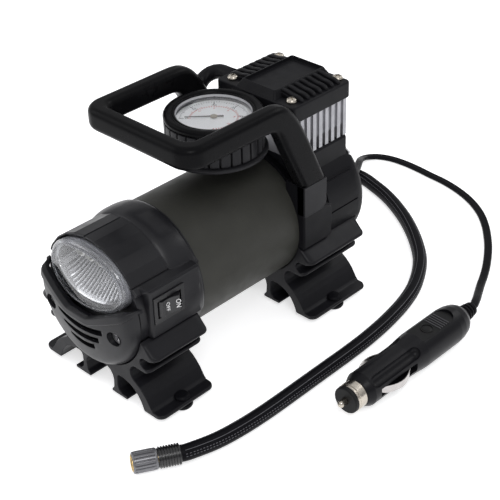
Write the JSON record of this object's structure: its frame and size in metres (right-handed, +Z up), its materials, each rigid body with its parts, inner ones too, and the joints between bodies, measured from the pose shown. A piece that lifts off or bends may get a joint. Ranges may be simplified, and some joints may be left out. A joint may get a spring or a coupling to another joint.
{
  "type": "tire inflator",
  "caption": "portable 12 V tire inflator with a round motor barrel, finned cylinder, front lamp, carry handle round a gauge, air hose with chuck and lighter-socket plug",
  "frame": {"origin": "middle of the machine in plan, on the floor under the rubber feet", "axes": "+Y along the motor axis towards the rear (compressor) end, +X to the switch side, +Z up"},
  "size_m": [0.2143, 0.3491, 0.1483],
  "materials": {
    "black_plastic": "satin moulded ABS",
    "handle_plastic": "satin moulded nylon",
    "foot_plastic": "satin moulded nylon",
    "switch_plastic": "gloss moulded",
    "chrome": "vacuum metallised",
    "clear_plastic": "clear polycarbonate",
    "circuit_board": "solder mask",
    "led_resin": "clear epoxy",
    "steel": "zinc plated",
    "rubber": "smooth rubber",
    "barrel_paint": "matte powder coat",
    "ferrite": "ground",
    "phenolic": "phenolic board",
    "carbon": "graphite",
    "lamination": "varnished laminations and windings",
    "copper": "turned copper",
    "grey_plastic": "moulded",
    "cast_aluminium": "die cast",
    "ptfe": "filled PTFE",
    "dial_white": "printed dial",
    "needle_black": "black",
    "brass": "turned",
    "plug_plastic": "gloss phenolic",
    "nickel": "nickel plated",
    "fuse_ceramic": "glass fuse with caps"
  },
  "bodies": {
    "base": {"lamp_housing": "black_plastic", "lamp_reflector": "chrome", "lamp_lens": "clear_plastic", "lamp_board": "circuit_board", "lamp_leds": "led_resin", "vent_mask": "black_plastic", "mask_screws": "steel", "switch_body": "switch_plastic", "front_foot": "foot_plastic", "rear_foot": "foot_plastic", "rubber_feet": "rubber", "motor_barrel": "barrel_paint", "motor_magnets": "ferrite", "brush_plate": "phenolic", "brushes": "carbon", "front_bearing": "steel", "motor_end_plate": "cast_aluminium", "rear_bearing": "steel", "rear_housing": "black_plastic", "rear_cover": "black_plastic", "cover_screws": "steel", "cylinder_base": "black_plastic", "finned_cylinder": "cast_aluminium", "head_gasket": "phenolic", "valve_plate": "steel", "head_cover": "black_plastic", "head_screws": "steel", "handle": "handle_plastic", "handle_screws": "steel", "gauge_cup": "black_plastic", "gauge_bezel": "black_plastic", "gauge_glass": "clear_plastic", "gauge_dial": "dial_white", "gauge_movement": "brass", "outlet_elbow": "rubber", "air_hose": "rubber", "hose_ferrule": "rubber", "chuck_insert": "brass", "cord_grommet": "rubber", "power_cord": "rubber", "plug_body": "plug_plastic", "plug_relief": "rubber", "plug_spring": "steel", "plug_ring": "nickel", "plug_nose": "plug_plastic"},
    "rocker": {"switch_rocker": "switch_plastic"},
    "rotor": {"motor_shaft": "steel", "armature": "lamination", "commutator": "copper", "cooling_fan": "grey_plastic", "crank": "ferrite"},
    "piston": {"con_rod": "cast_aluminium", "rod_bearing": "steel", "piston_seal": "ptfe"},
    "needle": {"gauge_needle": "needle_black"},
    "plug_tip": {"plug_pin": "nickel", "plug_fuse": "fuse_ceramic"},
    "contact_a": {"plug_contact_a": "nickel"},
    "contact_b": {"plug_contact_b": "nickel"},
    "collar": {"chuck_collar": "nickel"}
  },
  "joints": [
    {"name": "rocker_hinge", "type": "hinge", "parent": "base", "child": "rocker", "pos_m": [0.0372, -0.0659, 0.0665], "axis": [0, 0, 1], "range_deg": [0, 16]},
    {"name": "rotor_spin", "type": "hinge", "parent": "base", "child": "rotor", "pos_m": [0, 0, 0.0595], "axis": [0, 1, 0], "continuous": true},
    {"name": "piston_slide", "type": "slide", "parent": "base", "child": "piston", "axis": [0, 0, 1], "range_m": [-0.016, 0]},
    {"name": "needle_turn", "type": "hinge", "parent": "base", "child": "needle", "pos_m": [0, 0.0106, 0.1325], "axis": [0, 0, -1], "range_deg": [0, 270]},
    {"name": "plug_pin_slide", "type": "slide", "parent": "base", "child": "plug_tip", "axis": [0, 1, 0], "range_m": [0, 0.003], "stiffness_N_per_m": 300, "springref_m": -0.001},
    {"name": "contact_a_slide", "type": "slide", "parent": "base", "child": "contact_a", "axis": [-0.9994, 0, 0.0349], "range_m": [0, 0.0015], "stiffness_N_per_m": 300, "springref_m": -0.001},
    {"name": "contact_b_slide", "type": "slide", "parent": "base", "child": "contact_b", "axis": [0.9994, 0, -0.0349], "range_m": [0, 0.0015], "stiffness_N_per_m": 300, "springref_m": -0.001},
    {"name": "collar_turn", "type": "hinge", "parent": "base", "child": "collar", "pos_m": [0.0772, -0.097, 0.0059], "axis": [-0.5091, -0.8607, 0], "continuous": true}
  ]
}
